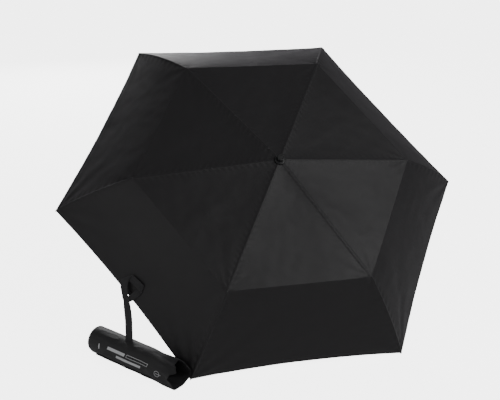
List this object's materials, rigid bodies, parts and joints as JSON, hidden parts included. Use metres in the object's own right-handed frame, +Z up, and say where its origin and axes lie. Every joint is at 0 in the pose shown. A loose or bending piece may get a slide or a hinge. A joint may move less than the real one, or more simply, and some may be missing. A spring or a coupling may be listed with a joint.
{
  "type": "folding umbrella",
  "caption": "Compact folding umbrella, open, with ribs that fold in three, a telescoping shaft, a short handle and a separate storage sleeve.",
  "frame": {"origin": "bottom centre of the bounding box of the umbrella as it lies open on the floor with its sleeve beside it", "axes": "+Z up from the floor, +X to the right across the canopy, its longest extent, -Y towards the side that the canopy's top leans to"},
  "size_m": [0.9616, 0.641, 0.5785],
  "materials": {
    "black_fabric": "satin",
    "sleeve_fabric": "satin",
    "black_webbing": "matte",
    "black_plastic": "satin",
    "rubber_grip": "matte",
    "rib_steel": "satin",
    "tube_steel": "satin",
    "tip_chrome": "gloss"
  },
  "bodies": {
    "umbrella_top": {"upper_tube": "tube_steel", "crown": "black_plastic", "crown_wire": "rib_steel", "top_cap": "black_plastic", "canopy": "black_fabric"},
    "runner": {"runner": "black_plastic", "runner_wire": "rib_steel"},
    "release_button": {"release_button": "black_plastic"},
    "middle_tube": {"middle_tube": "tube_steel"},
    "handle": {"lower_tube": "tube_steel", "handle_grip": "rubber_grip", "handle_plug": "black_plastic"},
    "inner_rib_1": {"inner_rib_1": "rib_steel", "inner_pin_1": "rib_steel"},
    "middle_rib_1": {"middle_rib_1": "rib_steel", "middle_pin_1": "rib_steel"},
    "outer_rib_1": {"outer_rib_1": "rib_steel", "rib_tip_1": "tip_chrome"},
    "stretcher_1": {"stretcher_1": "rib_steel"},
    "inner_rib_2": {"inner_rib_2": "rib_steel", "inner_pin_2": "rib_steel"},
    "middle_rib_2": {"middle_rib_2": "rib_steel", "middle_pin_2": "rib_steel"},
    "outer_rib_2": {"outer_rib_2": "rib_steel", "rib_tip_2": "tip_chrome"},
    "stretcher_2": {"stretcher_2": "rib_steel"},
    "inner_rib_3": {"inner_rib_3": "rib_steel", "inner_pin_3": "rib_steel"},
    "middle_rib_3": {"middle_rib_3": "rib_steel", "middle_pin_3": "rib_steel"},
    "outer_rib_3": {"outer_rib_3": "rib_steel", "rib_tip_3": "tip_chrome"},
    "stretcher_3": {"stretcher_3": "rib_steel"},
    "inner_rib_4": {"inner_rib_4": "rib_steel", "inner_pin_4": "rib_steel"},
    "middle_rib_4": {"middle_rib_4": "rib_steel", "middle_pin_4": "rib_steel"},
    "outer_rib_4": {"outer_rib_4": "rib_steel", "rib_tip_4": "tip_chrome"},
    "stretcher_4": {"stretcher_4": "rib_steel"},
    "inner_rib_5": {"inner_rib_5": "rib_steel", "inner_pin_5": "rib_steel"},
    "middle_rib_5": {"middle_rib_5": "rib_steel", "middle_pin_5": "rib_steel"},
    "outer_rib_5": {"outer_rib_5": "rib_steel", "rib_tip_5": "tip_chrome"},
    "stretcher_5": {"stretcher_5": "rib_steel"},
    "inner_rib_6": {"inner_rib_6": "rib_steel", "inner_pin_6": "rib_steel"},
    "middle_rib_6": {"middle_rib_6": "rib_steel", "middle_pin_6": "rib_steel"},
    "outer_rib_6": {"outer_rib_6": "rib_steel", "rib_tip_6": "tip_chrome"},
    "stretcher_6": {"stretcher_6": "rib_steel"},
    "sleeve": {"sleeve_body": "sleeve_fabric", "sleeve_end": "sleeve_fabric", "sleeve_piping": "black_webbing", "sleeve_strap": "black_webbing"}
  },
  "joints": [
    {"name": "runner_slide", "type": "slide", "parent": "umbrella_top", "child": "runner", "axis": [0, 0.6833, -0.7301], "range_m": [0, 0.10073], "deforming": ["canopy"]},
    {"name": "release_button_press", "type": "slide", "parent": "runner", "child": "release_button", "axis": [0, -0.7301, -0.6833], "range_m": [0, 0.0014], "stiffness_N_per_m": 600},
    {"name": "middle_tube_slide", "type": "slide", "parent": "umbrella_top", "child": "middle_tube", "axis": [0, -0.6833, 0.7301], "range_m": [0, 0.155]},
    {"name": "handle_slide", "type": "slide", "parent": "middle_tube", "child": "handle", "axis": [0, -0.6833, 0.7301], "range_m": [0, 0.148]},
    {"name": "crown_hinge_1", "type": "hinge", "parent": "umbrella_top", "child": "inner_rib_1", "pos_m": [-0.0045, -0.09299, 0.41295], "axis": [-0.866, -0.3651, -0.3416], "range_deg": [0, 82.64]},
    {"name": "inner_hinge_1", "type": "hinge", "parent": "inner_rib_1", "child": "middle_rib_1", "pos_m": [-0.08265, 0.01864, 0.49175], "axis": [-0.866, -0.3651, -0.3416], "range_deg": [-180.2, 0]},
    {"name": "outer_hinge_1", "type": "hinge", "parent": "middle_rib_1", "child": "outer_rib_1", "pos_m": [-0.15984, 0.13366, 0.56454], "axis": [-0.866, -0.3651, -0.3416], "range_deg": [0, 148.35]},
    {"name": "stretcher_hinge_1", "type": "hinge", "parent": "runner", "child": "stretcher_1", "pos_m": [-0.0045, -0.04839, 0.36529], "axis": [-0.866, -0.3651, -0.3416], "range_deg": [-53.08, 0]},
    {"name": "crown_hinge_2", "type": "hinge", "parent": "umbrella_top", "child": "inner_rib_2", "pos_m": [0.0045, -0.09299, 0.41295], "axis": [-0.866, 0.3651, 0.3416], "range_deg": [0, 82.64]},
    {"name": "inner_hinge_2", "type": "hinge", "parent": "inner_rib_2", "child": "middle_rib_2", "pos_m": [0.08265, 0.01864, 0.49175], "axis": [-0.866, 0.3651, 0.3416], "range_deg": [-180.2, 0]},
    {"name": "outer_hinge_2", "type": "hinge", "parent": "middle_rib_2", "child": "outer_rib_2", "pos_m": [0.15984, 0.13366, 0.56454], "axis": [-0.866, 0.3651, 0.3416], "range_deg": [0, 148.35]},
    {"name": "stretcher_hinge_2", "type": "hinge", "parent": "runner", "child": "stretcher_2", "pos_m": [0.0045, -0.04839, 0.36529], "axis": [-0.866, 0.3651, 0.3416], "range_deg": [-53.08, 0]},
    {"name": "crown_hinge_3", "type": "hinge", "parent": "umbrella_top", "child": "inner_rib_3", "pos_m": [0.009, -0.09868, 0.40762], "axis": [0, 0.7301, 0.6833], "range_deg": [0, 82.64]},
    {"name": "inner_hinge_3", "type": "hinge", "parent": "inner_rib_3", "child": "middle_rib_3", "pos_m": [0.16529, -0.08588, 0.39394], "axis": [0, 0.7301, 0.6833], "range_deg": [-180.2, 0]},
    {"name": "outer_hinge_3", "type": "hinge", "parent": "middle_rib_3", "child": "outer_rib_3", "pos_m": [0.31969, -0.06849, 0.37536], "axis": [0, 0.7301, 0.6833], "range_deg": [0, 148.35]},
    {"name": "stretcher_hinge_3", "type": "hinge", "parent": "runner", "child": "stretcher_3", "pos_m": [0.009, -0.05408, 0.35997], "axis": [0, 0.7301, 0.6833], "range_deg": [-53.08, 0]},
    {"name": "crown_hinge_4", "type": "hinge", "parent": "umbrella_top", "child": "inner_rib_4", "pos_m": [0.0045, -0.10437, 0.4023], "axis": [0.866, 0.3651, 0.3416], "range_deg": [0, 82.64]},
    {"name": "inner_hinge_4", "type": "hinge", "parent": "inner_rib_4", "child": "middle_rib_4", "pos_m": [0.08265, -0.19039, 0.29613], "axis": [0.866, 0.3651, 0.3416], "range_deg": [-180.2, 0]},
    {"name": "outer_hinge_4", "type": "hinge", "parent": "middle_rib_4", "child": "outer_rib_4", "pos_m": [0.15984, -0.27063, 0.18619], "axis": [0.866, 0.3651, 0.3416], "range_deg": [0, 148.35]},
    {"name": "stretcher_hinge_4", "type": "hinge", "parent": "runner", "child": "stretcher_4", "pos_m": [0.0045, -0.05977, 0.35464], "axis": [0.866, 0.3651, 0.3416], "range_deg": [-53.08, 0]},
    {"name": "crown_hinge_5", "type": "hinge", "parent": "umbrella_top", "child": "inner_rib_5", "pos_m": [-0.0045, -0.10437, 0.4023], "axis": [0.866, -0.3651, -0.3416], "range_deg": [0, 82.64]},
    {"name": "inner_hinge_5", "type": "hinge", "parent": "inner_rib_5", "child": "middle_rib_5", "pos_m": [-0.08265, -0.19039, 0.29613], "axis": [0.866, -0.3651, -0.3416], "range_deg": [-180.2, 0]},
    {"name": "outer_hinge_5", "type": "hinge", "parent": "middle_rib_5", "child": "outer_rib_5", "pos_m": [-0.15984, -0.27063, 0.18619], "axis": [0.866, -0.3651, -0.3416], "range_deg": [0, 148.35]},
    {"name": "stretcher_hinge_5", "type": "hinge", "parent": "runner", "child": "stretcher_5", "pos_m": [-0.0045, -0.05977, 0.35464], "axis": [0.866, -0.3651, -0.3416], "range_deg": [-53.08, 0]},
    {"name": "crown_hinge_6", "type": "hinge", "parent": "umbrella_top", "child": "inner_rib_6", "pos_m": [-0.009, -0.09868, 0.40762], "axis": [0, -0.7301, -0.6833], "range_deg": [0, 82.64]},
    {"name": "inner_hinge_6", "type": "hinge", "parent": "inner_rib_6", "child": "middle_rib_6", "pos_m": [-0.16529, -0.08588, 0.39394], "axis": [0, -0.7301, -0.6833], "range_deg": [-180.2, 0]},
    {"name": "outer_hinge_6", "type": "hinge", "parent": "middle_rib_6", "child": "outer_rib_6", "pos_m": [-0.31969, -0.06849, 0.37536], "axis": [0, -0.7301, -0.6833], "range_deg": [0, 148.35]},
    {"name": "stretcher_hinge_6", "type": "hinge", "parent": "runner", "child": "stretcher_6", "pos_m": [-0.009, -0.05408, 0.35997], "axis": [0, -0.7301, -0.6833], "range_deg": [-53.08, 0]},
    {"name": "sleeve_slide", "type": "slide", "parent": "umbrella_top", "child": "sleeve", "axis": [-0.7944, -0.6074, 0], "range_m": [0, 0.3]}
  ],
  "couplings": [
    {"joint": "crown_hinge_1", "follows": "runner_slide", "rad_per_m": 14.283},
    {"joint": "inner_hinge_1", "follows": "runner_slide", "rad_per_m": -31.187},
    {"joint": "outer_hinge_1", "follows": "runner_slide", "rad_per_m": 25.668},
    {"joint": "stretcher_hinge_1", "follows": "runner_slide", "rad_per_m": -9.1616},
    {"joint": "crown_hinge_2", "follows": "runner_slide", "rad_per_m": 14.283},
    {"joint": "inner_hinge_2", "follows": "runner_slide", "rad_per_m": -31.187},
    {"joint": "outer_hinge_2", "follows": "runner_slide", "rad_per_m": 25.668},
    {"joint": "stretcher_hinge_2", "follows": "runner_slide", "rad_per_m": -9.1616},
    {"joint": "crown_hinge_3", "follows": "runner_slide", "rad_per_m": 14.283},
    {"joint": "inner_hinge_3", "follows": "runner_slide", "rad_per_m": -31.187},
    {"joint": "outer_hinge_3", "follows": "runner_slide", "rad_per_m": 25.668},
    {"joint": "stretcher_hinge_3", "follows": "runner_slide", "rad_per_m": -9.1616},
    {"joint": "crown_hinge_4", "follows": "runner_slide", "rad_per_m": 14.283},
    {"joint": "inner_hinge_4", "follows": "runner_slide", "rad_per_m": -31.187},
    {"joint": "outer_hinge_4", "follows": "runner_slide", "rad_per_m": 25.668},
    {"joint": "stretcher_hinge_4", "follows": "runner_slide", "rad_per_m": -9.1616},
    {"joint": "crown_hinge_5", "follows": "runner_slide", "rad_per_m": 14.283},
    {"joint": "inner_hinge_5", "follows": "runner_slide", "rad_per_m": -31.187},
    {"joint": "outer_hinge_5", "follows": "runner_slide", "rad_per_m": 25.668},
    {"joint": "stretcher_hinge_5", "follows": "runner_slide", "rad_per_m": -9.1616},
    {"joint": "crown_hinge_6", "follows": "runner_slide", "rad_per_m": 14.283},
    {"joint": "inner_hinge_6", "follows": "runner_slide", "rad_per_m": -31.187},
    {"joint": "outer_hinge_6", "follows": "runner_slide", "rad_per_m": 25.668},
    {"joint": "stretcher_hinge_6", "follows": "runner_slide", "rad_per_m": -9.1616}
  ]
}
